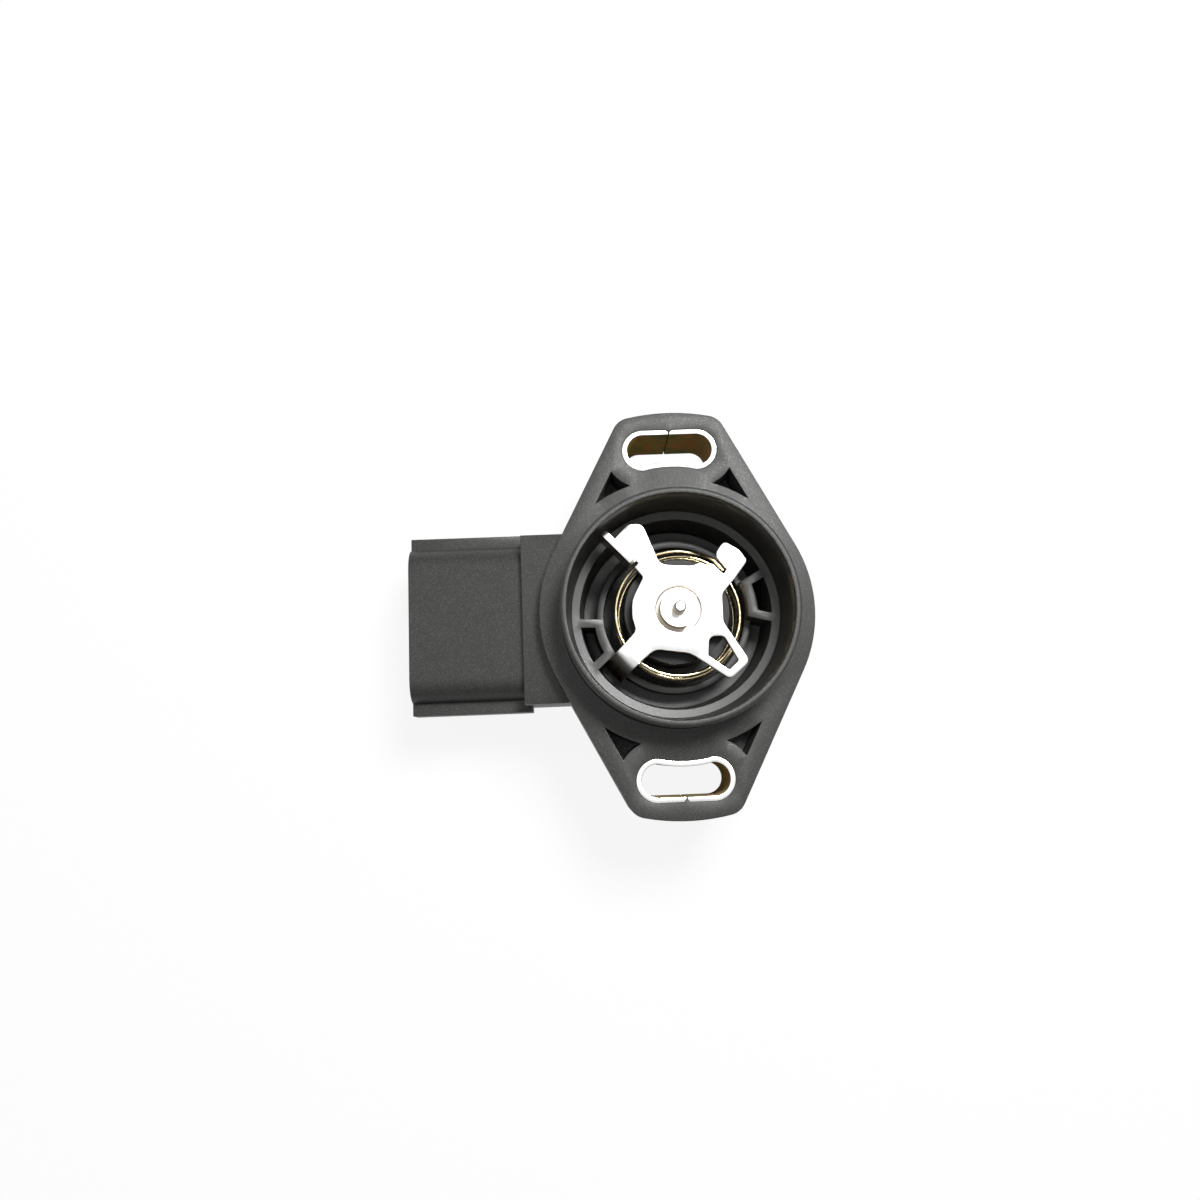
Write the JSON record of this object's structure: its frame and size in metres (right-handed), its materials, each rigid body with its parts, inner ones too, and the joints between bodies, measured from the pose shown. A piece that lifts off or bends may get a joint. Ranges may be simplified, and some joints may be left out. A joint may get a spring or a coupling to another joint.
{
  "type": "throttle position sensor",
  "caption": "Rotary throttle position sensor with a slotted flange, a round spigot, a sprung lever in its cup and a side connector.",
  "frame": {"origin": "rotor axis at the flange's mounting face, in the middle of the spigot's foot", "axes": "+Z along the rotor axis out of the cup towards the throttle body, +Y through the upper slot, -X along the connector"},
  "size_m": [0.0616, 0.0618, 0.0268],
  "materials": {
    "moulded_plastic": "dark grey glass-filled plastic with a fine sparkle",
    "hub_plastic": "smooth black plastic",
    "zinc_plate": "bright zinc-plated sheet",
    "shaft_steel": "plain steel",
    "spring_wire": "bright drawn wire with a straw tint",
    "bearing_bronze": "sintered bronze",
    "seal_rubber": "black rubber",
    "contact_alloy": "spring contact alloy",
    "board_ceramic": "fired ceramic",
    "printed_track": "printed resistive ink",
    "terminal_tin": "tinned brass"
  },
  "bodies": {
    "sensor_body": {"housing": "moulded_plastic", "upper_slot_bush": "zinc_plate", "lower_slot_bush": "zinc_plate", "shaft_bearing": "bearing_bronze", "thrust_washer": "shaft_steel", "shaft_seal": "seal_rubber", "resistor_board": "board_ceramic", "resistor_tracks": "printed_track", "terminal_1": "terminal_tin", "terminal_2": "terminal_tin", "terminal_3": "terminal_tin", "terminal_4": "terminal_tin", "terminal_5": "terminal_tin", "terminal_6": "terminal_tin", "front_cover": "moulded_plastic", "cover_seal": "seal_rubber"},
    "rotor": {"lever_plate": "zinc_plate", "rotor_shaft": "shaft_steel", "rotor_hub": "hub_plastic", "return_spring": "spring_wire", "wiper_carrier": "hub_plastic", "track_wiper": "contact_alloy", "switch_wiper": "contact_alloy", "retaining_clip": "shaft_steel"}
  },
  "joints": [
    {"name": "rotor_turn", "type": "hinge", "parent": "sensor_body", "child": "rotor", "pos_m": [0, 0, -0.008], "axis": [0, 0, 1], "range_deg": [0, 124], "stiffness_Nm_per_rad": 0.01, "springref_deg": -34.38, "deforming": ["return_spring"]}
  ]
}
